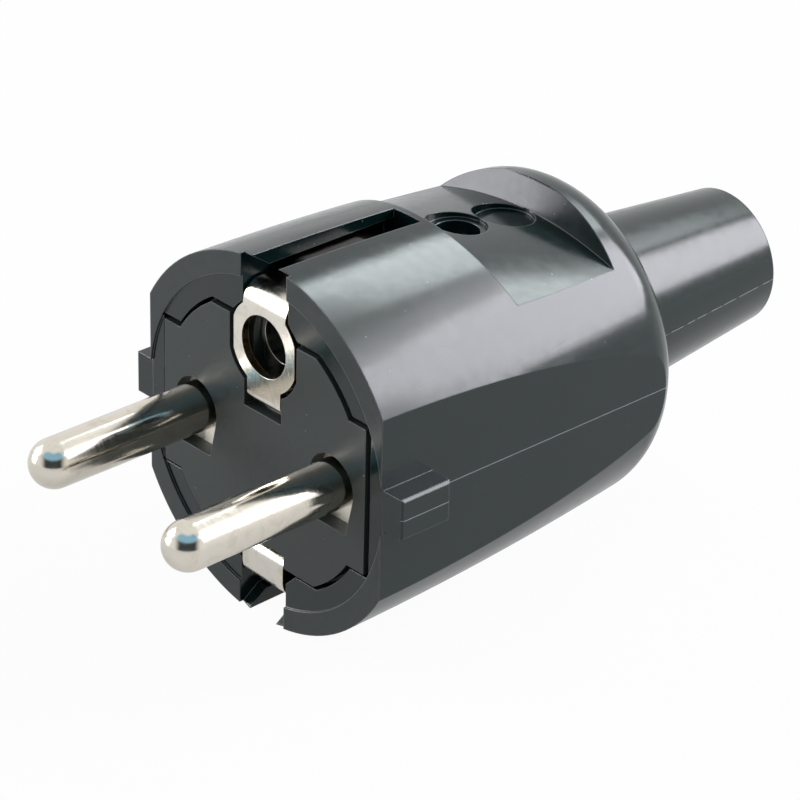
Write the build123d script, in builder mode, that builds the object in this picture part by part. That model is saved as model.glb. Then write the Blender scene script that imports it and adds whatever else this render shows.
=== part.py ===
from build123d import *
from math import radians, tan
import os

# Rewireable mains plug with two round pins, two side earth contacts and an earth-pin hole.
# Millimetres. X runs across the pins, Y from the engagement face back to the cord, Z is up.
# The origin is the middle of the engagement face, halfway between the pins.

# Contact interface
pin_pitch = 19.0
pin_diameter = 4.8
pin_length = 19.0
earth_hole_height = 10.0
earth_pin_bore = 4.9

# Fits
room_gap = 0.3
fit_gap = 0.2
slide_gap = 0.1
touch_gap = 0.02

# Housing, outside
face_radius = 18.6
middle_radius = 17.85
middle_y = 20.0
shoulder_radius = 16.35
shoulder_length = 3.3
shoulder_rounding = 5.0
flat_half_width = 16.15
rib_height = 2.5
rib_width = 4.2
rib_length = 5.9
rib_setback = 0.3
rib_chamfer = 0.25

# Front ring, and the four segments set back inside it
ring_inner_radius = 16.3
segment_setback = 0.25

# Outline of the insert, shared by plate, carrier and chamber
insert_radius = 13.87
insert_half_height = 11.8
insert_side_width = 28.0
insert_side_height = 14.84
insert_gap = 0.42

# Earth slots
slot_half_width = 3.15
lip_half_width = 1.85
slot_length = 17.4
lip_inner_height = 17.0
lip_tip_y = 0.2
lip_tip_height = 18.5
lip_bevel_angle = 54.4
lip_bevel_reach = 2.0
slot_corner_bevel = 1.3

# Grip recess
grip_length = 14.7
grip_front_bow = 51.0
grip_front_height = 16.15
grip_slope = 9.3
grip_front_crown = 25.0
grip_rear_bow = 113.0
grip_rear_crown = 41.0
grip_rear_lean = 20.0
screw_hole_inset = 5.6
counterbore_diameter = 6.0
counterbore_depth = 0.9
screw_hole_diameter = 4.5
hole_spacing = 6.07
blind_hole_diameter = 6.1
blind_hole_depth = 0.9

# Rear room inside the housing
room_diameter = 24.4
rear_wall = 4.3
boss_diameter = 8.4
boss_clearance = 0.5
boss_tip_height = 8.2
head_seat_height = 9.6

# Front plate
plate_thickness = 1.6
pin_window_diameter = 5.94
window_waist = 0.4
window_depth = 4.41
window_foot_width = 4.1
earth_window_gap = 0.45
tab_window_width = 5.2
tab_window_floor = 3.1
strip_notch_top = -10.4
strip_notch_width = 6.2
peg_diameter = 2.4
peg_length = 2.2
peg_x = 5.6
peg_z = -9.4

# Pin terminals
shank_diameter = 4.0
shank_length = 4.8
block_width = 6.4
block_top = 2.4
block_height = 8.0
block_length = 12.0
block_rounding = 0.5
screw_wall = 2.1
wire_chamber_width = 3.6
wire_chamber_height = 3.8
wire_chamber_length = 5.4
wire_hole_diameter = 4.0
leaf_thickness = 0.4
leaf_lip = 2.0

# Small screws, nut and rivet
clamp_screw_diameter = 3.5
clamp_head_diameter = 5.2
clamp_screw_lift = 0.9
cheese_head_height = 1.8
driver_slot_width = 0.8
driver_slot_depth = 0.8
screw_chamfer = 0.25
housing_screw_diameter = 3.0
housing_head_diameter = 4.2
housing_screw_tip = 2.0
nut_across_flats = 5.5
nut_thickness = 2.4
nut_base_height = 3.0
rivet_diameter = 2.4
rivet_head_diameter = 4.0
rivet_head_height = 0.6
rivet_grip = 1.5
rivet_z = -4.8

# Earth strip
strip_thickness = 0.8
strip_setback = 0.1
strip_top_width = 5.8
strip_bottom_width = 5.7
strip_middle_width = 5.0
neck_height = 12.9
earth_ring_diameter = 9.0
earth_ring_width = 8.4
earth_ring_hole = 6.1
tab_width = 4.6
tab_height = 4.2
foot_height = -11.0
jog_drop = 0.5
jog_radius = 0.8
bend_radius = 1.6
shoulder_height = 15.1
shoulder_end = 2.8
spring_height = 16.3
spring_crest_start = 5.5
spring_tip_height = 15.5
spring_tip_run = 3.0
spring_end_room = 1.9

# Rolled earth socket with its tongue
socket_wall = 0.5
socket_length = 14.6
socket_slit = 0.8
tongue_width = 4.0
tongue_foot = -6.8

# Earth terminal behind the tongue
earth_block_width = 7.0
earth_block_top = -1.8
earth_block_height = 6.7
earth_block_length = 9.0

# Contact carrier
carrier_length = 17.4
wiring_floor = -8.0
saddle_length = 6.3
saddle_top = -0.5
saddle_diameter = 10.0
post_diameter = 8.0
post_web_width = 3.0

# Cord clamp
clamp_bar_inset = 2.6
clamp_bar_overhang = 2.4
clamp_bar_width = 4.6
clamp_bar_thickness = 2.4
clamp_bar_hollow = 1.0
clamp_screw_wall = 1.9
cord_screw_diameter = 3.0
cord_head_diameter = 4.4
cord_screw_depth = 5.0

# Bend-protection sleeve
sleeve_root_diameter = 17.96
sleeve_end_diameter = 14.1
sleeve_length = 20.3
sleeve_flange_width = 1.42
flange_thickness = 1.9
sleeve_clearance = 0.12
cord_bore_diameter = 9.2
cord_bore_length = 16.0
throat_diameter = 13.6
throat_taper = 2.5

# Places that follow from the sizes above
pin_x = pin_pitch / 2
pin_radius = pin_diameter / 2
carrier_rear = plate_thickness + carrier_length
chamber_rear = carrier_rear + room_gap
screw_hole_y = carrier_rear + boss_clearance + boss_diameter / 2
blind_hole_y = screw_hole_y + hole_spacing
grip_front_y = screw_hole_y - screw_hole_inset
grip_rear_y = grip_front_y + grip_length
saddle_front = screw_hole_y + post_diameter / 2 + fit_gap
tail_end = saddle_front + saddle_length
flange_front = tail_end + room_gap
rear_wall_y = flange_front + flange_thickness
body_length = rear_wall_y + rear_wall
shoulder_y = body_length - shoulder_length
sleeve_flange_diameter = sleeve_root_diameter + 2 * sleeve_flange_width
sleeve_end_y = body_length + sleeve_length
clamp_bar_y = saddle_front + clamp_bar_inset
clamp_screw_x = saddle_diameter / 2 + clamp_screw_wall
clamp_bar_length = 2 * (clamp_screw_x + clamp_bar_overhang)
spring_tip_y = slot_length - spring_end_room
spring_crest_end = spring_tip_y - spring_tip_run
tail_radius = room_diameter / 2 - fit_gap
post_top = boss_tip_height - fit_gap
strip_back = plate_thickness + strip_thickness
tongue_back = strip_back + socket_wall
socket_rear = strip_back + socket_length
socket_radius = earth_pin_bore / 2 + socket_wall
block_middle = block_top - block_height / 2
block_rear = plate_thickness + block_length
pocket_rear = block_rear + leaf_thickness + slide_gap
wire_chamber_top = block_top - screw_wall
clamp_screw_y = block_rear - wire_chamber_length / 2
wire_height = wire_chamber_top - wire_chamber_height / 2
earth_block_floor = earth_block_top - earth_block_height
earth_block_middle = earth_block_top - earth_block_height / 2
earth_block_rear = tongue_back + earth_block_length
earth_screw_y = earth_block_rear - wire_chamber_length / 2
earth_wire_height = earth_block_floor + screw_wall + wire_chamber_height / 2
screw_well_diameter = clamp_head_diameter + 2 * room_gap
clamp_bar_top = saddle_top + clamp_bar_thickness
grip_fall = tan(radians(grip_slope))
grip_lean = tan(radians(grip_rear_lean))
grip_foot_height = grip_front_height - (grip_rear_y - grip_front_y) * grip_fall
screw_floor_height = grip_front_height - (screw_hole_y - grip_front_y) * grip_fall
blind_floor_height = grip_front_height - (blind_hole_y - grip_front_y) * grip_fall
strip_front_y = strip_setback + strip_thickness / 2
strip_rear_y = plate_thickness + strip_thickness / 2

standing = (Align.CENTER, Align.CENTER, Align.MIN)
hanging = (Align.CENTER, Align.CENTER, Align.MAX)
above = (Align.CENTER, Align.MIN)

os.makedirs("parts", exist_ok=True)


def across(y):
    """Plane across the plug at y: sketch x is X, sketch y is Z, its normal points forward."""
    return Plane.XZ.offset(-y)


def insert_outline(gap):
    """Stepped outline of the insert: a disc cut level at top and bottom, with two wide sides."""
    Circle(insert_radius + gap)
    Rectangle(2 * face_radius, 2 * (insert_half_height + gap), mode=Mode.INTERSECT)
    Rectangle(insert_side_width + 2 * gap, insert_side_height + 2 * gap)


def slotted_screw(shank_diameter, shank_length, head_diameter):
    """Cheese-head screw: the head stands on the origin and the shank hangs below it."""
    with BuildPart() as screw:
        Cylinder(head_diameter / 2, cheese_head_height, align=standing)
        chamfer(screw.edges().group_by(Axis.Z)[-1], screw_chamfer)
        Cylinder(shank_diameter / 2, shank_length, align=hanging)
        chamfer(screw.edges().group_by(Axis.Z)[0], screw_chamfer)
        with Locations((0, 0, cheese_head_height)):
            Box(head_diameter, driver_slot_width, 2 * driver_slot_depth, mode=Mode.SUBTRACT)
    return screw.part


# Space of the grip recess above its crowned floor, which falls towards the rear
with BuildPart() as grip_recess:
    for y, crown in ((grip_front_y, grip_front_crown), (grip_rear_y, grip_rear_crown)):
        reach = (y - grip_front_y) / (grip_rear_y - grip_front_y) * 2 - 1
        floor_height = grip_front_height - (y + reach - grip_front_y) * grip_fall
        with BuildSketch(across(y + reach)):
            with Locations((0, floor_height)):
                Rectangle(1.8 * middle_radius, 2 * middle_radius)
            with Locations((0, floor_height - crown)):
                Circle(crown, mode=Mode.SUBTRACT)
    loft(ruled=True)
    # The front wall bows forward
    with BuildSketch(Plane.XY):
        with Locations((0, grip_front_y + grip_front_bow)):
            Circle(grip_front_bow)
    extrude(amount=2 * face_radius, mode=Mode.INTERSECT)
    # The rear wall leans back
    with BuildSketch(Plane.XY):
        with Locations((0, grip_rear_y - grip_foot_height * grip_lean)):
            Rectangle(2 * face_radius, body_length)
            with Locations((0, grip_rear_bow)):
                Circle(grip_rear_bow, mode=Mode.SUBTRACT)
    extrude(amount=2 * face_radius, dir=(0, grip_lean, 1), mode=Mode.INTERSECT)

# Housing: one moulded cover with guide ribs, earth slots, grip recess and rear dome
with BuildPart() as housing:
    with BuildSketch(Plane.XY):
        with BuildLine():
            ThreePointArc((face_radius, 0), (middle_radius, middle_y), (shoulder_radius, shoulder_y))
            Line((shoulder_radius, shoulder_y), (sleeve_root_diameter / 2, body_length))
            Line((sleeve_root_diameter / 2, body_length), (0, body_length))
            Line((0, body_length), (0, 0))
            Line((0, 0), (face_radius, 0))
        make_face()
        fillet(vertices().sort_by_distance((shoulder_radius, shoulder_y, 0))[0], shoulder_rounding)
    revolve(axis=Axis.Y)
    # Two side flats
    with BuildSketch(across(0)):
        Rectangle(2 * flat_half_width, 3 * face_radius)
    extrude(amount=-body_length, mode=Mode.INTERSECT)
    # Guide ribs on the two flats
    with BuildSketch(across(rib_setback)):
        Rectangle(2 * (flat_half_width + rib_height), rib_width)
    extrude(amount=-rib_length)
    chamfer(edges().group_by(Axis.X)[-1], rib_chamfer)
    chamfer(edges().group_by(Axis.X)[0], rib_chamfer)
    add(grip_recess.part, mode=Mode.SUBTRACT)
    # Set-back front segments and the chamber for the insert
    with BuildSketch(across(0)):
        Circle(ring_inner_radius)
    extrude(amount=-segment_setback, mode=Mode.SUBTRACT)
    with BuildSketch(across(0)):
        insert_outline(insert_gap)
    extrude(amount=-chamber_rear, mode=Mode.SUBTRACT)
    # Wiring room, seat for the sleeve flange and rear opening
    with BuildSketch(across(chamber_rear)):
        Circle(room_diameter / 2)
    extrude(amount=-(flange_front - chamber_rear), mode=Mode.SUBTRACT)
    with BuildSketch(across(flange_front)):
        Circle(sleeve_flange_diameter / 2 + fit_gap)
    extrude(amount=-flange_thickness, mode=Mode.SUBTRACT)
    with BuildSketch(across(rear_wall_y)):
        Circle(sleeve_root_diameter / 2 + sleeve_clearance)
    extrude(amount=-rear_wall, mode=Mode.SUBTRACT)
    # Earth slots: a wide pocket for the spring behind two narrow lips with bevelled tips
    for side in (1, -1):
        with BuildSketch(across(0)):
            with BuildLine():
                Polyline(
                    (-slot_half_width - slot_corner_bevel, side * insert_half_height),
                    (-slot_half_width - slot_corner_bevel, side * (insert_half_height + insert_gap)),
                    (-slot_half_width, side * (insert_half_height + insert_gap + slot_corner_bevel)),
                    (-slot_half_width, side * lip_inner_height),
                    (slot_half_width, side * lip_inner_height),
                    (slot_half_width, side * (insert_half_height + insert_gap + slot_corner_bevel)),
                    (slot_half_width + slot_corner_bevel, side * (insert_half_height + insert_gap)),
                    (slot_half_width + slot_corner_bevel, side * insert_half_height),
                    close=True,
                )
            make_face()
            with Locations((0, side * lip_inner_height)):
                Rectangle(2 * lip_half_width, insert_half_height)
        extrude(amount=-slot_length, mode=Mode.SUBTRACT)
        lip_run = lip_bevel_reach * tan(radians(lip_bevel_angle))
        with BuildSketch(Plane.YZ):
            with BuildLine():
                Polyline(
                    (lip_tip_y - lip_run, side * (lip_tip_height + lip_bevel_reach)),
                    (lip_tip_y + lip_run, side * (lip_tip_height - lip_bevel_reach)),
                    (-2 * lip_run, side * (lip_tip_height - lip_bevel_reach)),
                    (-2 * lip_run, side * (lip_tip_height + lip_bevel_reach)),
                    close=True,
                )
            make_face()
        extrude(amount=slot_half_width, both=True, mode=Mode.SUBTRACT)
    # Screw boss inside, screw hole and shallow blind hole in the recess floor
    with Locations((0, screw_hole_y, boss_tip_height)):
        Cylinder(boss_diameter / 2, room_diameter / 2 - boss_tip_height + fit_gap, align=standing)
    with Locations((0, screw_hole_y, face_radius)):
        Hole(counterbore_diameter / 2, face_radius - screw_floor_height + counterbore_depth)
        Hole(screw_hole_diameter / 2, face_radius - head_seat_height)
        Hole(housing_screw_diameter / 2 + fit_gap, face_radius - boss_tip_height + fit_gap)
    with Locations((0, blind_hole_y, face_radius)):
        Hole(blind_hole_diameter / 2, face_radius - blind_floor_height + blind_hole_depth)

# Front plate: windows round both pins, the earth opening and the notch for the earth strip
with BuildPart() as front_plate:
    with BuildSketch(across(0)):
        insert_outline(0)
        for side in (1, -1):
            with Locations((side * pin_x, 0)):
                Circle(pin_window_diameter / 2, mode=Mode.SUBTRACT)
                with BuildLine(mode=Mode.PRIVATE) as window_slants:
                    Polyline(
                        (side * pin_x - pin_window_diameter / 2, -window_waist),
                        (side * pin_x + pin_window_diameter / 2, -window_waist),
                        (side * pin_x + window_foot_width / 2, -window_depth),
                        (side * pin_x - window_foot_width / 2, -window_depth),
                        close=True,
                    )
            make_face(window_slants.edges(), mode=Mode.SUBTRACT)
        with Locations((0, earth_hole_height)):
            with BuildSketch(mode=Mode.PRIVATE) as ring_window:
                Circle(earth_ring_diameter / 2 + earth_window_gap)
                Rectangle(2 * insert_radius, insert_half_height, align=above)
                Rectangle(
                    earth_ring_width + 2 * earth_window_gap,
                    2 * insert_half_height,
                    mode=Mode.INTERSECT,
                )
            add(ring_window.sketch, mode=Mode.SUBTRACT)
        with Locations((0, tab_window_floor)):
            Rectangle(
                tab_window_width,
                earth_hole_height - tab_window_floor,
                align=above,
                mode=Mode.SUBTRACT,
            )
        with Locations((0, -insert_half_height)):
            Rectangle(
                strip_notch_width,
                2 * (insert_half_height + strip_notch_top),
                mode=Mode.SUBTRACT,
            )
    extrude(amount=-plate_thickness)
    # Relief for the rivet head, and the pegs that hold the plate to the carrier
    with BuildSketch(across(plate_thickness)):
        with Locations((0, rivet_z)):
            Circle(rivet_head_diameter / 2 + fit_gap)
    extrude(amount=rivet_head_height + slide_gap, mode=Mode.SUBTRACT)
    with BuildSketch(across(plate_thickness)):
        with Locations((peg_x, peg_z), (-peg_x, peg_z)):
            Circle(peg_diameter / 2)
    extrude(amount=-peg_length)

# Turned pin: round tip, full body up to its terminal, thinner shank behind
with BuildPart() as round_pin:
    with BuildSketch(Plane.XY):
        with BuildLine():
            CenterArc((0, pin_radius - pin_length), pin_radius, -90, 90)
            Polyline(
                (pin_radius, pin_radius - pin_length),
                (pin_radius, plate_thickness),
                (shank_diameter / 2, plate_thickness),
                (shank_diameter / 2, plate_thickness + shank_length),
                (0, plate_thickness + shank_length),
                (0, -pin_length),
            )
        make_face()
    revolve(axis=Axis.Y)

with BuildPart() as live_pin:
    with Locations((pin_x, 0, 0)):
        add(round_pin.part)

with BuildPart() as neutral_pin:
    with Locations((-pin_x, 0, 0)):
        add(round_pin.part)

# Terminal block: bore for the pin shank, wire chamber from the rear, screw from above
with BuildPart() as pin_block:
    with BuildSketch(across(plate_thickness)):
        with Locations((0, block_middle)):
            RectangleRounded(block_width, block_height, block_rounding)
        Circle(shank_diameter / 2 + touch_gap, mode=Mode.SUBTRACT)
    extrude(amount=-(shank_length + touch_gap))
    with BuildSketch(across(plate_thickness + shank_length + touch_gap)):
        with Locations((0, block_middle)):
            RectangleRounded(block_width, block_height, block_rounding)
    extrude(amount=-(block_length - shank_length - touch_gap))
    with BuildSketch(across(block_rear)):
        with Locations((0, wire_height)):
            Rectangle(wire_chamber_width, wire_chamber_height)
    extrude(amount=wire_chamber_length, mode=Mode.SUBTRACT)
    with Locations((0, clamp_screw_y, block_top)):
        Hole(clamp_screw_diameter / 2 + touch_gap, screw_wall + touch_gap)

with BuildPart() as live_terminal:
    with Locations((pin_x, 0, 0)):
        add(pin_block.part)

with BuildPart() as neutral_terminal:
    with Locations((-pin_x, 0, 0)):
        add(pin_block.part)

# Leaf that keeps the screw off the wire, hooked over the rear of the block
with BuildPart() as leaf:
    with BuildSketch(Plane.YZ):
        with BuildLine():
            Polyline(
                (block_rear - wire_chamber_length + slide_gap, wire_chamber_top),
                (block_rear, wire_chamber_top),
                (block_rear, wire_chamber_top - leaf_thickness + leaf_lip),
                (block_rear + leaf_thickness, wire_chamber_top - leaf_thickness + leaf_lip),
                (block_rear + leaf_thickness, wire_chamber_top - leaf_thickness),
                (block_rear - wire_chamber_length + slide_gap, wire_chamber_top - leaf_thickness),
                close=True,
            )
        make_face()
    extrude(amount=wire_chamber_width / 2 - slide_gap, both=True)

with BuildPart() as live_wire_guard:
    with Locations((pin_x, 0, 0)):
        add(leaf.part)

with BuildPart() as neutral_wire_guard:
    with Locations((-pin_x, 0, 0)):
        add(leaf.part)

# Terminal screws
clamp_screw = slotted_screw(clamp_screw_diameter, clamp_screw_lift + screw_wall, clamp_head_diameter)

with BuildPart() as live_terminal_screw:
    with Locations((pin_x, clamp_screw_y, block_top + clamp_screw_lift)):
        add(clamp_screw)

with BuildPart() as neutral_terminal_screw:
    with Locations((-pin_x, clamp_screw_y, block_top + clamp_screw_lift)):
        add(clamp_screw)

with BuildPart() as earth_terminal_screw:
    with Locations((0, earth_screw_y, earth_block_floor - clamp_screw_lift)):
        add(clamp_screw, rotation=(180, 0, 0))

# Earth strip: both side springs, the ring in front and the bridge behind the plate
with BuildPart() as earth_bracket:
    with BuildSketch(Plane.YZ):
        with BuildLine():
            FilletPolyline(
                (spring_tip_y, spring_tip_height),
                (spring_crest_end, spring_height),
                (spring_crest_start, spring_height),
                (shoulder_end, shoulder_height),
                (strip_front_y, shoulder_height),
                (strip_front_y, earth_hole_height),
                radius=bend_radius,
            )
            FilletPolyline(
                (strip_front_y, earth_hole_height),
                (strip_front_y, tab_height),
                (strip_rear_y, tab_height - jog_drop),
                (strip_rear_y, foot_height),
                (strip_front_y, foot_height - jog_drop),
                (strip_front_y, -neck_height),
                radius=jog_radius,
            )
            FilletPolyline(
                (strip_front_y, -neck_height),
                (strip_front_y, -shoulder_height),
                (shoulder_end, -shoulder_height),
                (spring_crest_start, -spring_height),
                (spring_crest_end, -spring_height),
                (spring_tip_y, -spring_tip_height),
                radius=bend_radius,
            )
        trace(line_width=strip_thickness)
    extrude(amount=earth_ring_diameter / 2, both=True)
    # Front view of the strip
    with BuildSketch(across(-strip_thickness)):
        with Locations((0, neck_height)):
            Rectangle(strip_top_width, face_radius - neck_height, align=above)
        with Locations((0, earth_hole_height)):
            with BuildSketch(mode=Mode.PRIVATE) as ring_outline:
                Circle(earth_ring_diameter / 2)
                Rectangle(earth_ring_width, earth_ring_diameter, mode=Mode.INTERSECT)
            add(ring_outline.sketch)
            Rectangle(strip_top_width, neck_height - earth_hole_height, align=above)
            Circle(earth_ring_hole / 2, mode=Mode.SUBTRACT)
        with Locations((0, (earth_hole_height - earth_ring_hole / 2 + tab_window_floor) / 2)):
            Rectangle(tab_width, earth_hole_height - earth_ring_hole / 2 - tab_window_floor)
        with Locations((0, earth_hole_height)):
            Circle(earth_ring_hole / 2, mode=Mode.SUBTRACT)
        with Locations((0, (tab_height + foot_height) / 2)):
            Rectangle(strip_middle_width, tab_height - foot_height - 2 * jog_drop)
        with Locations((0, -face_radius)):
            Rectangle(strip_bottom_width, face_radius + foot_height + 2 * jog_drop, align=above)
    extrude(amount=-(spring_tip_y + 2 * strip_thickness), mode=Mode.INTERSECT)
    with BuildSketch(across(0)):
        with Locations((0, rivet_z)):
            Circle(rivet_diameter / 2 + touch_gap)
    extrude(amount=-strip_back, mode=Mode.SUBTRACT)

# Rolled socket for the earth pin, slit along its top, with the tongue that meets the strip
with BuildPart() as earth_socket:
    with BuildSketch(across(strip_back)):
        with Locations((0, earth_hole_height)):
            Circle(socket_radius)
            Circle(earth_pin_bore / 2, mode=Mode.SUBTRACT)
            Rectangle(socket_slit, 2 * socket_radius, align=above, mode=Mode.SUBTRACT)
    extrude(amount=-socket_length)
    with BuildSketch(across(strip_back)):
        with Locations((0, tongue_foot)):
            Rectangle(tongue_width, earth_hole_height - tongue_foot, align=above)
        with Locations((0, earth_hole_height)):
            Circle(earth_pin_bore / 2, mode=Mode.SUBTRACT)
        with Locations((0, rivet_z)):
            Circle(rivet_diameter / 2 + touch_gap, mode=Mode.SUBTRACT)
    extrude(amount=-socket_wall)

with BuildPart() as earth_terminal:
    with BuildSketch(across(tongue_back)):
        with Locations((0, earth_block_middle)):
            RectangleRounded(earth_block_width, earth_block_height, block_rounding)
    extrude(amount=-earth_block_length)
    with BuildSketch(across(tongue_back)):
        with Locations((0, rivet_z)):
            Circle(rivet_diameter / 2 + touch_gap)
    extrude(amount=-rivet_grip, mode=Mode.SUBTRACT)
    with BuildSketch(across(earth_block_rear)):
        with Locations((0, earth_wire_height)):
            Rectangle(wire_chamber_width, wire_chamber_height)
    extrude(amount=wire_chamber_length, mode=Mode.SUBTRACT)
    with BuildSketch(Plane.XY.offset(earth_block_floor)):
        with Locations((0, earth_screw_y)):
            Circle(clamp_screw_diameter / 2 + touch_gap)
    extrude(amount=screw_wall, mode=Mode.SUBTRACT)

with BuildPart() as earth_rivet:
    with BuildSketch(across(plate_thickness)):
        with Locations((0, rivet_z)):
            Circle(rivet_head_diameter / 2)
    extrude(amount=rivet_head_height)
    chamfer(edges().group_by(Axis.Y)[0], screw_chamfer)
    with BuildSketch(across(plate_thickness)):
        with Locations((0, rivet_z)):
            Circle(rivet_diameter / 2)
    extrude(amount=-(strip_thickness + socket_wall + rivet_grip))

# Carrier: terminal pockets in front, wiring floor, screw post and cord saddle behind
with BuildPart() as contact_carrier:
    with BuildSketch(across(plate_thickness)):
        insert_outline(insert_gap - fit_gap)
    extrude(amount=-carrier_length)
    with BuildSketch(across(carrier_rear)):
        Circle(tail_radius)
        with Locations((0, wiring_floor)):
            Rectangle(2 * tail_radius, 2 * tail_radius, align=above, mode=Mode.SUBTRACT)
    extrude(amount=-(tail_end - carrier_rear))
    with BuildSketch(across(saddle_front)):
        Circle(tail_radius)
        with Locations((0, saddle_top)):
            Rectangle(2 * tail_radius, 2 * tail_radius, align=above, mode=Mode.SUBTRACT)
        Circle(saddle_diameter / 2, mode=Mode.SUBTRACT)
    extrude(amount=-(tail_end - saddle_front))
    # Screw post with its web and the nut slot open to the rear
    with Locations((0, screw_hole_y, wiring_floor)):
        Cylinder(post_diameter / 2, post_top - wiring_floor, align=standing)
    with BuildSketch(Plane.XY.offset(wiring_floor)):
        with Locations((0, (carrier_rear + screw_hole_y) / 2)):
            Rectangle(post_web_width, screw_hole_y - carrier_rear)
    extrude(amount=post_top - wiring_floor)
    with BuildSketch(Plane.XY.offset(nut_base_height)):
        with Locations((0, screw_hole_y)):
            RegularPolygon(nut_across_flats / 2 + slide_gap, 6, major_radius=False, rotation=30)
        with Locations((0, screw_hole_y + post_diameter / 2)):
            Rectangle(nut_across_flats + 2 * slide_gap, post_diameter)
    extrude(amount=nut_thickness + slide_gap, mode=Mode.SUBTRACT)
    with Locations((0, screw_hole_y, post_top)):
        Hole(housing_screw_diameter / 2 + slide_gap, post_top - housing_screw_tip + fit_gap)
    # Pockets, wire holes and screw wells of the two pin terminals
    for side in (1, -1):
        with BuildSketch(across(plate_thickness)):
            with Locations((side * pin_x, block_middle)):
                Rectangle(block_width + 2 * slide_gap, block_height + 2 * slide_gap)
        extrude(amount=-(pocket_rear - plate_thickness), mode=Mode.SUBTRACT)
        with BuildSketch(across(pocket_rear)):
            with Locations((side * pin_x, wire_height)):
                Circle(wire_hole_diameter / 2)
        extrude(amount=-(carrier_rear - pocket_rear), mode=Mode.SUBTRACT)
        with BuildSketch(Plane.XY.offset(block_top)):
            with Locations((side * pin_x, clamp_screw_y)):
                Circle(screw_well_diameter / 2)
        extrude(amount=insert_radius, mode=Mode.SUBTRACT)
    # Pocket, wire hole and screw well of the earth terminal
    with BuildSketch(across(plate_thickness)):
        with Locations((0, earth_block_middle)):
            Rectangle(earth_block_width + 2 * slide_gap, earth_block_height + 2 * slide_gap)
    extrude(amount=-(earth_block_rear + slide_gap - plate_thickness), mode=Mode.SUBTRACT)
    with BuildSketch(across(earth_block_rear)):
        with Locations((0, earth_wire_height)):
            Circle(wire_hole_diameter / 2)
    extrude(amount=-(carrier_rear - earth_block_rear), mode=Mode.SUBTRACT)
    with BuildSketch(Plane.XY.offset(earth_block_floor)):
        with Locations((0, earth_screw_y)):
            Circle(screw_well_diameter / 2)
    extrude(amount=-insert_radius, mode=Mode.SUBTRACT)
    # Chamber of the earth socket and channel of the earth strip
    with BuildSketch(across(plate_thickness)):
        with Locations((0, earth_hole_height)):
            Circle(socket_radius + slide_gap)
    extrude(amount=-(socket_rear + slide_gap - plate_thickness), mode=Mode.SUBTRACT)
    with BuildSketch(across(plate_thickness)):
        with Locations((0, -insert_radius)):
            Rectangle(strip_notch_width, insert_radius + earth_hole_height, align=above)
    extrude(amount=-(tongue_back - plate_thickness), mode=Mode.SUBTRACT)
    # Holes for the plate pegs and the cord clamp screws
    with BuildSketch(across(plate_thickness)):
        with Locations((peg_x, peg_z), (-peg_x, peg_z)):
            Circle(peg_diameter / 2 + touch_gap)
    extrude(amount=-(peg_length + slide_gap), mode=Mode.SUBTRACT)
    with Locations((0, clamp_bar_y, saddle_top)):
        with GridLocations(2 * clamp_screw_x, clamp_bar_width, 2, 1):
            Hole(cord_screw_diameter / 2 + touch_gap, cord_screw_depth + slide_gap)

# Cord clamp bar, hollowed underneath where it presses on the cord
with BuildPart() as cord_clamp_bar:
    with BuildSketch(across(clamp_bar_y - clamp_bar_width / 2)):
        with Locations((0, saddle_top)):
            Rectangle(clamp_bar_length, clamp_bar_thickness, align=above)
        with Locations((0, saddle_top + clamp_bar_hollow - saddle_diameter / 2)):
            Circle(saddle_diameter / 2, mode=Mode.SUBTRACT)
    extrude(amount=-clamp_bar_width)
    fillet(edges().filter_by(Axis.Z), clamp_bar_width / 4)
    with Locations((0, clamp_bar_y, clamp_bar_top)):
        with GridLocations(2 * clamp_screw_x, clamp_bar_width, 2, 1):
            Hole(cord_screw_diameter / 2 + slide_gap, clamp_bar_thickness)

cord_screw = slotted_screw(cord_screw_diameter, clamp_bar_thickness + cord_screw_depth, cord_head_diameter)

with BuildPart() as cord_clamp_screw_left:
    with Locations((-clamp_screw_x, clamp_bar_y, clamp_bar_top)):
        add(cord_screw)

with BuildPart() as cord_clamp_screw_right:
    with Locations((clamp_screw_x, clamp_bar_y, clamp_bar_top)):
        add(cord_screw)

# Housing screw and its nut in the post
long_screw_reach = head_seat_height - housing_screw_tip
long_screw = slotted_screw(housing_screw_diameter, long_screw_reach, housing_head_diameter)

with BuildPart() as housing_screw:
    with Locations((0, screw_hole_y, head_seat_height)):
        add(long_screw)

with BuildPart() as housing_nut:
    with BuildSketch(Plane.XY.offset(nut_base_height)):
        with Locations((0, screw_hole_y)):
            RegularPolygon(nut_across_flats / 2, 6, major_radius=False, rotation=30)
            Circle(housing_screw_diameter / 2 + touch_gap, mode=Mode.SUBTRACT)
    extrude(amount=nut_thickness)

# Bend-protection sleeve: inner flange, tapered tube, wide throat and the cord bore
with BuildPart() as bend_sleeve:
    with BuildSketch(Plane.XY):
        with BuildLine():
            Polyline(
                (throat_diameter / 2, flange_front),
                (sleeve_flange_diameter / 2, flange_front),
                (sleeve_flange_diameter / 2, rear_wall_y),
                (sleeve_root_diameter / 2, rear_wall_y),
                (sleeve_root_diameter / 2, body_length),
                (sleeve_end_diameter / 2, sleeve_end_y),
                (cord_bore_diameter / 2, sleeve_end_y),
                (cord_bore_diameter / 2, sleeve_end_y - cord_bore_length),
                (throat_diameter / 2, sleeve_end_y - cord_bore_length - throat_taper),
                close=True,
            )
        make_face()
    revolve(axis=Axis.Y)

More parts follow.
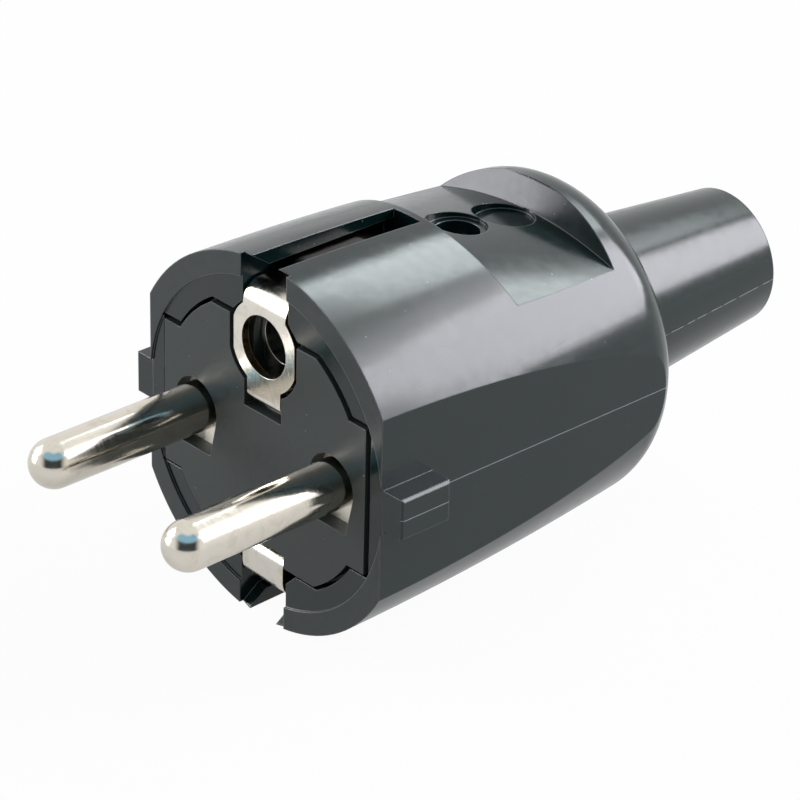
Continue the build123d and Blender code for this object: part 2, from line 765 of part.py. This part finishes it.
housing.part.label = "housing"
export_step(housing.part, "parts/housing.step")
front_plate.part.label = "front_plate"
export_step(front_plate.part, "parts/front_plate.step")
contact_carrier.part.label = "contact_carrier"
export_step(contact_carrier.part, "parts/contact_carrier.step")
live_pin.part.label = "live_pin"
export_step(live_pin.part, "parts/live_pin.step")
neutral_pin.part.label = "neutral_pin"
export_step(neutral_pin.part, "parts/neutral_pin.step")
live_terminal.part.label = "live_terminal"
export_step(live_terminal.part, "parts/live_terminal.step")
neutral_terminal.part.label = "neutral_terminal"
export_step(neutral_terminal.part, "parts/neutral_terminal.step")
live_terminal_screw.part.label = "live_terminal_screw"
export_step(live_terminal_screw.part, "parts/live_terminal_screw.step")
neutral_terminal_screw.part.label = "neutral_terminal_screw"
export_step(neutral_terminal_screw.part, "parts/neutral_terminal_screw.step")
live_wire_guard.part.label = "live_wire_guard"
export_step(live_wire_guard.part, "parts/live_wire_guard.step")
neutral_wire_guard.part.label = "neutral_wire_guard"
export_step(neutral_wire_guard.part, "parts/neutral_wire_guard.step")
earth_bracket.part.label = "earth_bracket"
export_step(earth_bracket.part, "parts/earth_bracket.step")
earth_socket.part.label = "earth_socket"
export_step(earth_socket.part, "parts/earth_socket.step")
earth_rivet.part.label = "earth_rivet"
export_step(earth_rivet.part, "parts/earth_rivet.step")
earth_terminal.part.label = "earth_terminal"
export_step(earth_terminal.part, "parts/earth_terminal.step")
earth_terminal_screw.part.label = "earth_terminal_screw"
export_step(earth_terminal_screw.part, "parts/earth_terminal_screw.step")
cord_clamp_bar.part.label = "cord_clamp_bar"
export_step(cord_clamp_bar.part, "parts/cord_clamp_bar.step")
cord_clamp_screw_left.part.label = "cord_clamp_screw_left"
export_step(cord_clamp_screw_left.part, "parts/cord_clamp_screw_left.step")
cord_clamp_screw_right.part.label = "cord_clamp_screw_right"
export_step(cord_clamp_screw_right.part, "parts/cord_clamp_screw_right.step")
housing_screw.part.label = "housing_screw"
export_step(housing_screw.part, "parts/housing_screw.step")
housing_nut.part.label = "housing_nut"
export_step(housing_nut.part, "parts/housing_nut.step")
bend_sleeve.part.label = "bend_sleeve"
export_step(bend_sleeve.part, "parts/bend_sleeve.step")
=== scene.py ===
import bpy
from math import cos, pi, radians, sin
from mathutils import Matrix, Vector


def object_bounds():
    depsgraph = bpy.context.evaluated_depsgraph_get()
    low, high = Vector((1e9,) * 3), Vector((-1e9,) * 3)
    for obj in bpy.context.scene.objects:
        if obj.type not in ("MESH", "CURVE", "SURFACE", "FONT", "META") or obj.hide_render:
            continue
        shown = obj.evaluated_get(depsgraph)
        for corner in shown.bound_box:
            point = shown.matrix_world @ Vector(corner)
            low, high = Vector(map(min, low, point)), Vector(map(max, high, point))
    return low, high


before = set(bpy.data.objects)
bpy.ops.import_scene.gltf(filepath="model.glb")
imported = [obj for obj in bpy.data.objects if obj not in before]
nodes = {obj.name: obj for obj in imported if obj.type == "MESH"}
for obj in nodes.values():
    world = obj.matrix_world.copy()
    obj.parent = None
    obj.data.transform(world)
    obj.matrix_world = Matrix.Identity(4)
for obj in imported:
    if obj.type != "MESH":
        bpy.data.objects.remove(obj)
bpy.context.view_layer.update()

MM = 0.001
MICROMETRE = 0.001 * MM
scene = bpy.context.scene

# Camera: the photograph's own view, sizes in millimetres
VIEW_AZIMUTH = 47.025
VIEW_ELEVATION = 28.522
VIEW_ROLL = 1.436
VIEW_DISTANCE = 361.684
VIEW_TARGET = (-3.162, 20.0, -3.678)
VIEW_LENS = 170.37
FILM_WIDTH = 36.0

azimuth, elevation, roll = radians(VIEW_AZIMUTH), radians(VIEW_ELEVATION), radians(VIEW_ROLL)
back = Vector((sin(azimuth) * cos(elevation), -cos(azimuth) * cos(elevation), sin(elevation)))
level_right = Vector((0, 0, 1)).cross(back).normalized()
level_up = back.cross(level_right)
right = level_right * cos(roll) + level_up * sin(roll)
up = level_up * cos(roll) - level_right * sin(roll)

camera_data = bpy.data.cameras.new("photo_camera")
camera_data.lens = VIEW_LENS
camera_data.sensor_width = FILM_WIDTH
camera_data.clip_start = 0.01
camera_data.clip_end = 20
camera = bpy.data.objects.new("photo_camera", camera_data)
scene.collection.objects.link(camera)
turn = Matrix((right, up, back)).transposed().to_4x4()
camera.matrix_world = Matrix.Translation((Vector(VIEW_TARGET) + back * VIEW_DISTANCE) * MM) @ turn
scene.camera = camera
scene.view_settings.view_transform = "Standard"


# Small helpers for writing shader trees
class Tree:
    """A node tree that is written left to right: each call adds one node and returns it."""

    def __init__(self, tree):
        self.tree = tree
        self.column = 0

    def add(self, kind, inputs=None, **settings):
        node = self.tree.nodes.new(kind)
        node.location = (self.column * 190, -60 * (self.column % 5))
        self.column += 1
        for name, value in settings.items():
            setattr(node, name, value)
        for socket, value in (inputs or {}).items():
            if isinstance(value, bpy.types.NodeSocket):
                self.tree.links.new(value, node.inputs[socket])
            else:
                node.inputs[socket].default_value = value
        return node

    def math(self, operation, a, b=0.0):
        return self.add("ShaderNodeMath", {0: a, 1: b}, operation=operation).outputs[0]

    def vector(self, operation, a, b=(0, 0, 0)):
        node = self.add("ShaderNodeVectorMath", {0: a, 1: b}, operation=operation)
        return node.outputs["Value" if operation == "DOT_PRODUCT" else "Vector"]

    def place(self):
        """Point on the piece in millimetres, in the part's own frame."""
        point = self.add("ShaderNodeTexCoord").outputs["Object"]
        return self.vector("MULTIPLY", point, (1 / MM, 1 / MM, 1 / MM))

    def split(self, vector):
        return self.add("ShaderNodeSeparateXYZ", {0: vector}).outputs

    def noise(self, vector, scale, detail=2.0, roughness=0.5, distortion=0.0):
        inputs = {
            "Vector": vector,
            "Scale": scale,
            "Detail": detail,
            "Roughness": roughness,
            "Distortion": distortion,
        }
        return self.add("ShaderNodeTexNoise", inputs).outputs["Fac"]

    def ramp(self, value, low, high, to_low=0.0, to_high=1.0):
        """Smooth step from one value to another."""
        inputs = {"Value": value, "From Min": low, "From Max": high, "To Min": to_low, "To Max": to_high}
        return self.add("ShaderNodeMapRange", inputs, interpolation_type="SMOOTHSTEP").outputs[0]

    def blend(self, factor, a, b):
        """Mix of two colours."""
        node = self.add("ShaderNodeMix", {0: factor}, data_type="RGBA")
        for socket, value in ((6, a), (7, b)):
            if isinstance(value, bpy.types.NodeSocket):
                self.tree.links.new(value, node.inputs[socket])
            else:
                node.inputs[socket].default_value = (*value, 1)
        return node.outputs[2]

    def use(self, group, inputs):
        return self.add("ShaderNodeGroup", inputs, node_tree=group).outputs


def new_group(name, inputs, outputs):
    """Node group with named sockets; gives its tree helper, its input sockets and a closing call."""
    group = bpy.data.node_groups.new(name, "ShaderNodeTree")
    for socket, (kind, value) in inputs.items():
        made = group.interface.new_socket(socket, in_out="INPUT", socket_type=kind)
        if value is not None:
            made.default_value = value
    for socket, kind in outputs.items():
        group.interface.new_socket(socket, in_out="OUTPUT", socket_type=kind)
    t = Tree(group)
    entry = t.add("NodeGroupInput").outputs

    def close(results):
        t.add("NodeGroupOutput", results)
        return group

    return t, entry, close


def new_material(name):
    material = bpy.data.materials.new(name)
    material.use_nodes = True
    material.node_tree.nodes.clear()
    return material, Tree(material.node_tree)


def finish_material(t, shader):
    t.add("ShaderNodeOutputMaterial", {"Surface": shader.outputs[0]})


FLOAT, VECTOR = "NodeSocketFloat", "NodeSocketVector"


# Skin of the plastic: noise scales per millimetre, wave height in micrometres, specks in cells
GRAIN_SCALE = 9.0
WAVE_SCALE = 0.12
WAVE_HEIGHT = 60.0
PATCH_SCALE = 0.9
SPECK_SCALE = 1.15
SPECK_SIZE = 0.16
SMALLEST_SPECK = 0.012
SPECK_RARITY = 0.86


def make_moulded_grain():
    """Skin of a moulded plastic: fine grain, slow waves of the mould and pale dust specks."""
    t, entry, close = new_group(
        "moulded_grain",
        {"Place": (VECTOR, None), "Grain": (FLOAT, 0.5), "Waviness": (FLOAT, 0.5), "Specks": (FLOAT, 0.5)},
        {"Tone": FLOAT, "Specks": FLOAT, "Height": FLOAT},
    )
    fine = t.noise(entry["Place"], GRAIN_SCALE, 3.0, 0.7)
    slow = t.noise(entry["Place"], WAVE_SCALE, 0.0, 0.5)
    patch = t.noise(entry["Place"], PATCH_SCALE, 3.0, 0.6)
    cells = t.add("ShaderNodeTexVoronoi", {"Vector": entry["Place"], "Scale": SPECK_SCALE}, feature="F1")
    size = t.math("MULTIPLY", t.noise(entry["Place"], 0.6), SPECK_SIZE)
    speck = t.math("LESS_THAN", cells.outputs["Distance"], t.math("SUBTRACT", size, SMALLEST_SPECK))
    chosen = t.math("GREATER_THAN", t.split(cells.outputs["Color"])[0], SPECK_RARITY)
    speck = t.math("MULTIPLY", t.math("MULTIPLY", speck, chosen), entry["Specks"])
    tone = t.math("ADD", t.math("MULTIPLY", fine, 0.35), t.math("MULTIPLY", patch, 0.65))
    grain_height = t.math("MULTIPLY", fine, entry["Grain"])
    wave_height = t.math("MULTIPLY", slow, t.math("MULTIPLY", entry["Waviness"], WAVE_HEIGHT))
    height = t.math("ADD", grain_height, wave_height)
    return close({"Tone": tone, "Specks": speck, "Height": height})


# Two sets of scratches: turns in radians and an offset in millimetres that sets them apart
HAIRLINE_SETS = ((0.5, 0.2, 3.0), (1.9, -0.6, 17.0))
HAIRLINE_TILT = 0.4
HAIRLINE_STRETCH = 0.03


def make_hairlines():
    """Sparse hairline scratches, from thin bands of stretched noise seen through patches."""
    t, entry, close = new_group(
        "hairlines",
        {"Place": (VECTOR, None), "Width": (FLOAT, 0.003), "Amount": (FLOAT, 0.5)},
        {"Lines": FLOAT},
    )
    total = None
    for turn_about_z, turn_about_y, offset in HAIRLINE_SETS:
        mapped = t.add("ShaderNodeMapping", {"Vector": entry["Place"]}, vector_type="POINT")
        mapped.inputs["Rotation"].default_value = (HAIRLINE_TILT, turn_about_y, turn_about_z)
        mapped.inputs["Location"].default_value = (offset, offset, 0)
        mapped.inputs["Scale"].default_value = (1.0, HAIRLINE_STRETCH, 1.0)
        field = t.noise(mapped.outputs[0], 0.32, 1.0, 0.4, 0.3)
        band = t.math("LESS_THAN", t.math("ABSOLUTE", t.math("SUBTRACT", field, 0.5)), entry["Width"])
        patch = t.ramp(t.noise(t.vector("ADD", entry["Place"], (offset, 0, 0)), 0.2, 1.0), 0.6, 0.68)
        lines = t.math("MULTIPLY", band, patch)
        total = lines if total is None else t.math("MAXIMUM", total, lines)
    return close({"Lines": t.math("MULTIPLY", total, entry["Amount"])})


SEAM_WIDTH = 0.075
SEAM_WOBBLE = 0.05


def make_seam_line():
    """Thin flash line where the two halves of a mould met, in the level plane of the axis."""
    t, entry, close = new_group(
        "seam_line",
        {"Place": (VECTOR, None), "Width": (FLOAT, 0.05), "Start": (FLOAT, 0.0), "Breaks": (FLOAT, 0.0)},
        {"Line": FLOAT},
    )
    along, level = t.split(entry["Place"])[1:3]
    wobble = t.math("MULTIPLY", t.math("SUBTRACT", t.noise(entry["Place"], 0.8), 0.5), SEAM_WOBBLE)
    distance = t.math("ABSOLUTE", t.math("ADD", level, wobble))
    line = t.ramp(distance, entry["Width"], t.math("MULTIPLY", entry["Width"], 0.4))
    past = t.math("GREATER_THAN", along, entry["Start"])
    gaps = t.ramp(t.noise(entry["Place"], 0.9, 2.0), 0.36, 0.5)
    gaps = t.math("SUBTRACT", 1.0, t.math("MULTIPLY", entry["Breaks"], t.math("SUBTRACT", 1.0, gaps)))
    return close({"Line": t.math("MULTIPLY", t.math("MULTIPLY", line, past), gaps)})


def make_metal_marks():
    """Fine parallel marks of turning, rolling or grinding, run across the named direction."""
    t, entry, close = new_group(
        "metal_marks",
        {"Place": (VECTOR, None), "Stretch": (VECTOR, (1, 1, 1)), "Fineness": (FLOAT, 6.0)},
        {"Marks": FLOAT, "Stains": FLOAT},
    )
    squeezed = t.vector("MULTIPLY", entry["Place"], entry["Stretch"])
    marks = t.noise(squeezed, entry["Fineness"], 3.0, 0.6)
    stains = t.noise(entry["Place"], 0.5, 3.0, 0.6, 0.6)
    return close({"Marks": marks, "Stains": stains})


moulded_grain = make_moulded_grain()
hairlines = make_hairlines()
seam_line = make_seam_line()
metal_marks = make_metal_marks()


WAVINESS = 0.9
FACE_DEPTH = 0.2
FACE_LIGHT = (0.026, 0.034, 0.033)
SPECK_TINT = (0.16, 0.18, 0.18)
SCRATCH_TINT = (0.06, 0.065, 0.065)
SCRATCH_WIDTH = 0.0025
# Seam line: a real flash line whose pale tint is a painted highlight of the light its raised edge catches
SEAM_HIGHLIGHT_TINT = (0.17, 0.185, 0.19)
# Painted highlight: a paler tint along the rounded edges, and how strongly it shows
RIM_HIGHLIGHT_TINT = (0.11, 0.122, 0.125)
RIM_HIGHLIGHT_SHARE = 0.8


def black_plastic(
    name, colour, gloss, grain, specks, edge, seam_from=None, seam_breaks=0.0, scratches=0.0, face_gloss=0.0
):
    """Moulded black plastic: gloss is its roughness, grain is in micrometres, edge rounding in millimetres.
    The seam starts at seam_from millimetres behind the face, and the face itself can have its own gloss."""
    material, t = new_material(name)
    place = t.place()
    skin = t.use(moulded_grain, {"Place": place, "Grain": grain, "Waviness": WAVINESS, "Specks": specks})
    dark = tuple(0.75 * c for c in colour)
    light = tuple(1.3 * c for c in colour)
    tint = t.blend(skin["Tone"], dark, light)
    tint = t.blend(skin["Specks"], tint, SPECK_TINT)
    rough = t.ramp(skin["Tone"], 0.3, 0.7, gloss * 0.85, gloss * 1.25)
    if face_gloss:
        on_face = t.ramp(t.split(place)[1], FACE_DEPTH, 0.1 * FACE_DEPTH)
        tint = t.blend(on_face, tint, t.blend(skin["Tone"], dark, FACE_LIGHT))
        rough = t.math("ADD", rough, t.math("MULTIPLY", on_face, face_gloss - gloss))
    if scratches:
        fields = {"Place": place, "Width": SCRATCH_WIDTH, "Amount": scratches}
        lines = t.use(hairlines, fields)["Lines"]
        tint = t.blend(lines, tint, SCRATCH_TINT)
        rough = t.math("ADD", rough, t.math("MULTIPLY", lines, 0.25))
    if seam_from is not None:
        fields = {"Place": place, "Width": SEAM_WIDTH, "Start": seam_from, "Breaks": seam_breaks}
        seam = t.use(seam_line, fields)["Line"]
        # The seam's place and roughness are real; its pale tint is a painted highlight
        tint = t.blend(seam, tint, SEAM_HIGHLIGHT_TINT)
        rough = t.math("ADD", rough, t.math("MULTIPLY", seam, 0.2))
    # Painted highlight: edges where the rounded normal leaves the true one are tinted paler, standing in for
    # the light they catch
    rounded = t.add("ShaderNodeBevel", {"Radius": edge * MM}, samples=6).outputs[0]
    surface = t.add("ShaderNodeNewGeometry").outputs["Normal"]
    rim_highlight = t.ramp(t.vector("DOT_PRODUCT", rounded, surface), 0.985, 0.9)
    tint = t.blend(t.math("MULTIPLY", rim_highlight, RIM_HIGHLIGHT_SHARE), tint, RIM_HIGHLIGHT_TINT)
    bump = t.add("ShaderNodeBump", {"Height": skin["Height"], "Strength": 1.0, "Distance": MICROMETRE})
    t.tree.links.new(rounded, bump.inputs["Normal"])
    looks = {"Base Color": tint, "Roughness": rough, "Normal": bump.outputs[0]}
    shader = t.add("ShaderNodeBsdfPrincipled", looks)
    finish_material(t, shader)
    return material


HOUSING_BLACK = (0.002, 0.0095, 0.0095)
INSERT_BLACK = (0.018, 0.025, 0.0235)
SLEEVE_BLACK = (0.003, 0.0105, 0.01)
housing_black = black_plastic(
    "housing_black",
    HOUSING_BLACK,
    gloss=0.17,
    grain=0.7,
    specks=0.8,
    edge=0.18,
    seam_from=0.3,
    seam_breaks=0.15,
    scratches=0.2,
    face_gloss=0.3,
)
insert_black = black_plastic("insert_black", INSERT_BLACK, gloss=0.4, grain=3.0, specks=1.0, edge=0.1)
sleeve_black = black_plastic(
    "sleeve_black", SLEEVE_BLACK, gloss=0.19, grain=0.8, specks=0.3, edge=0.2, seam_from=41.0, seam_breaks=0.8
)


# Painted shade on the strip inside the earth slots, in millimetres behind the face and off the axis
SLOT_SHADE_FROM_FACE = (0.6, 2.6)
SLOT_SHADE_FROM_AXIS = (11.0, 12.0)


def metal(
    name, colour, stain_colour, stretch, fineness, polish, marks_depth, edge, edge_colour=None, slot_shade=None
):
    """Plated metal: polish is its roughness, marks stretched along one direction are marks_depth micrometres
    deep, edge rounding is in millimetres. Bare cut edges, and painted shade in the earth slots, if wanted."""
    material, t = new_material(name)
    place = t.place()
    wear = t.use(metal_marks, {"Place": place, "Stretch": stretch, "Fineness": fineness})
    tint = t.blend(t.ramp(wear["Stains"], 0.45, 0.75), colour, stain_colour)
    if edge_colour:
        side = t.math("ABSOLUTE", t.split(t.add("ShaderNodeNewGeometry").outputs["True Normal"])[0])
        tint = t.blend(t.ramp(side, 0.15, 0.35), tint, edge_colour)
    # Painted shade: the strip is darkened along its run inside the earth slots, standing in for the shade and
    # the dark walls it mirrors there
    if slot_shade:
        along, level = t.split(place)[1:3]
        behind_face = t.ramp(along, *SLOT_SHADE_FROM_FACE)
        run = t.math("MULTIPLY", behind_face, t.ramp(t.math("ABSOLUTE", level), *SLOT_SHADE_FROM_AXIS))
        tint = t.blend(run, tint, t.blend(wear["Marks"], tuple(0.4 * c for c in slot_shade), slot_shade))
    rough = t.ramp(wear["Marks"], 0.3, 0.7, polish * 0.7, polish * 1.35)
    rounded = t.add("ShaderNodeBevel", {"Radius": edge * MM}, samples=4).outputs[0]
    depth = {"Height": wear["Marks"], "Strength": 1.0, "Distance": marks_depth * MICROMETRE}
    bump = t.add("ShaderNodeBump", depth)
    t.tree.links.new(rounded, bump.inputs["Normal"])
    looks = {"Base Color": tint, "Roughness": rough, "Metallic": 1.0, "Normal": bump.outputs[0]}
    shader = t.add("ShaderNodeBsdfPrincipled", looks)
    finish_material(t, shader)
    return material


CUT_EDGE = (0.62, 0.46, 0.28)
# Tint of the painted shade on the strip inside the earth slots
SLOT_SHADE_TINT = (0.2, 0.19, 0.17)
nickel = metal(
    "turned_nickel",
    (0.70, 0.655, 0.575),
    (0.62, 0.575, 0.49),
    stretch=(0.15, 5.0, 0.15),
    fineness=2.0,
    polish=0.13,
    marks_depth=2.4,
    edge=0.12,
)
strip_plating = metal(
    "strip_plating",
    (0.78, 0.745, 0.67),
    (0.66, 0.62, 0.54),
    stretch=(3.0, 0.3, 0.3),
    fineness=2.4,
    polish=0.2,
    marks_depth=1.2,
    edge=0.08,
    edge_colour=CUT_EDGE,
    slot_shade=SLOT_SHADE_TINT,
)
spring_plating = metal(
    "spring_plating",
    (0.88, 0.87, 0.82),
    (0.74, 0.72, 0.66),
    stretch=(0.3, 3.0, 0.3),
    fineness=2.0,
    polish=0.16,
    marks_depth=1.0,
    edge=0.08,
)
brass = metal(
    "plated_brass",
    (0.93, 0.90, 0.81),
    (0.84, 0.79, 0.68),
    stretch=(1.0, 0.4, 1.0),
    fineness=1.6,
    polish=0.6,
    marks_depth=1.0,
    edge=0.1,
)
zinc = metal(
    "zinc_steel",
    (0.62, 0.63, 0.64),
    (0.5, 0.51, 0.53),
    stretch=(1.0, 1.0, 1.0),
    fineness=1.8,
    polish=0.3,
    marks_depth=1.5,
    edge=0.1,
)

FINISHES = {
    housing_black: ("housing",),
    insert_black: ("front_plate", "contact_carrier", "cord_clamp_bar"),
    sleeve_black: ("bend_sleeve",),
    nickel: ("live_pin", "neutral_pin"),
    strip_plating: ("earth_bracket",),
    spring_plating: ("earth_socket",),
    brass: ("live_terminal", "neutral_terminal", "earth_terminal", "earth_rivet"),
    zinc: (
        "live_wire_guard",
        "neutral_wire_guard",
        "live_terminal_screw",
        "neutral_terminal_screw",
        "earth_terminal_screw",
        "cord_clamp_screw_left",
        "cord_clamp_screw_right",
        "housing_screw",
        "housing_nut",
    ),
}
for finish, node_names in FINISHES.items():
    for node_name in node_names:
        mesh = nodes[node_name].data
        mesh.materials.clear()
        mesh.materials.append(finish)

# Floor: white paper that shows mostly as plain white to the camera and partly so to reflections
FLOOR_REACH = 6.0
FLOOR_TONE = 0.55
WHITE_TO_CAMERA = 0.96
WHITE_TO_MIRRORS = 0.52
floor_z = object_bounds()[0].z
corners = [(x * FLOOR_REACH, y * FLOOR_REACH, floor_z) for x, y in ((-1, -1), (1, -1), (1, 1), (-1, 1))]
floor_mesh = bpy.data.meshes.new("floor")
floor_mesh.from_pydata(corners, [], [(0, 1, 2, 3)])
floor = bpy.data.objects.new("floor", floor_mesh)
scene.collection.objects.link(floor)
floor_white, t = new_material("floor_white")
rays = t.add("ShaderNodeLightPath").outputs
paper = t.add("ShaderNodeBsdfDiffuse", {"Color": (FLOOR_TONE, FLOOR_TONE, FLOOR_TONE, 1)})
glow = t.add("ShaderNodeEmission", {"Color": (1, 1, 1, 1), "Strength": 1.0})
camera_share = t.math("MULTIPLY", rays["Is Camera Ray"], WHITE_TO_CAMERA)
mirror_share = t.math("MULTIPLY", rays["Is Glossy Ray"], WHITE_TO_MIRRORS)
share = t.math("ADD", camera_share, mirror_share)
seen = t.add("ShaderNodeMixShader", {0: share, 1: paper.outputs[0], 2: glow.outputs[0]})
finish_material(t, seen)
floor_mesh.materials.append(floor_white)


def direction(azimuth_degrees, elevation_degrees):
    """Unit vector: azimuth turns from +Y towards +X, elevation is above the horizon."""
    a, e = radians(azimuth_degrees), radians(elevation_degrees)
    return Vector((sin(a) * cos(e), cos(a) * cos(e), sin(e)))


# Surroundings: white for the camera and for reflections, dimmer as a light, with the dark room
# behind the camera, at CAMERA_SIDE degrees, and the daylight above it
WORLD_LIGHT = 0.5
CAMERA_SIDE = 133
ROOM_DARK = (0.05, 0.065, 0.07)
WINDOW_BLUE = (0.32, 0.62, 0.86)
world = bpy.data.worlds.new("studio")
scene.world = world
world.use_nodes = True
world.node_tree.nodes.clear()
w = Tree(world.node_tree)
look = w.add("ShaderNodeTexCoord").outputs["Generated"]
facing = w.ramp(w.vector("DOT_PRODUCT", look, direction(CAMERA_SIDE, 0)), 0.05, 0.25)
sideways = w.math("ABSOLUTE", w.vector("DOT_PRODUCT", look, direction(CAMERA_SIDE - 90, 0)))
height = w.split(look)[2]
front = w.math("MULTIPLY", facing, w.ramp(sideways, 0.88, 0.5))
room_height = w.math("MULTIPLY", w.ramp(height, 0.0, 0.1), w.ramp(height, 0.7, 0.56))
window_height = w.math("MULTIPLY", w.ramp(height, 0.55, 0.66), w.ramp(height, 0.99, 0.9))
shade = w.blend(w.math("MULTIPLY", front, window_height), (1.0, 1.0, 1.0), WINDOW_BLUE)
shade = w.blend(w.math("MULTIPLY", front, room_height), shade, ROOM_DARK)
world_rays = w.add("ShaderNodeLightPath").outputs
plain = w.add("ShaderNodeBackground", {"Color": (1, 1, 1, 1), "Strength": WORLD_LIGHT})
mirrored = w.add("ShaderNodeBackground", {"Color": shade, "Strength": 1.0})
white = w.add("ShaderNodeBackground", {"Color": (1, 1, 1, 1), "Strength": 1.0})
to_mirrors = {0: world_rays["Is Glossy Ray"], 1: plain.outputs[0], 2: mirrored.outputs[0]}
lit = w.add("ShaderNodeMixShader", to_mirrors)
to_camera = {0: world_rays["Is Camera Ray"], 1: lit.outputs[0], 2: white.outputs[0]}
shown = w.add("ShaderNodeMixShader", to_camera)
w.add("ShaderNodeOutputWorld", {"Surface": shown.outputs[0]})

LAMP_AIM = Vector((0, 20, 0)) * MM


def softbox(name, azimuth_degrees, elevation_degrees, distance, size, brightness, colour):
    """Rectangular lamp, angles in degrees, sizes in metres; brightness is what a mirror would show of it."""
    data = bpy.data.lights.new(name, "AREA")
    data.shape = "RECTANGLE"
    data.size, data.size_y = size
    data.energy = brightness * pi * size[0] * size[1]
    data.color = colour
    lamp = bpy.data.objects.new(name, data)
    toward = direction(azimuth_degrees, elevation_degrees)
    lamp.location = LAMP_AIM + toward * distance
    lamp.rotation_mode = "QUATERNION"
    lamp.rotation_quaternion = (-toward).to_track_quat("-Z", "Y")
    lamp.visible_camera = False
    scene.collection.objects.link(lamp)


softbox("rear_right_box", 29.5, 27, 1.0, (0.64, 0.53), 7.4, (0.97, 0.96, 1.03))
softbox("rear_right_edge", 34, 31, 1.05, (0.76, 0.70), 2.3, (0.97, 0.96, 1.03))
softbox("rear_left_strip", -14, 46, 1.0, (0.44, 0.24), 7.2, (0.93, 1.03, 1.04))
softbox("rear_glow", 5, 47.5, 1.1, (0.95, 0.30), 1.6, (0.97, 1.0, 1.0))
softbox("front_left_box", -118, 26, 1.0, (0.60, 0.50), 4.5, (1.0, 1.0, 1.0))
softbox("low_left_card", -129, 8, 1.0, (0.46, 0.32), 7.0, (0.97, 0.96, 1.03))
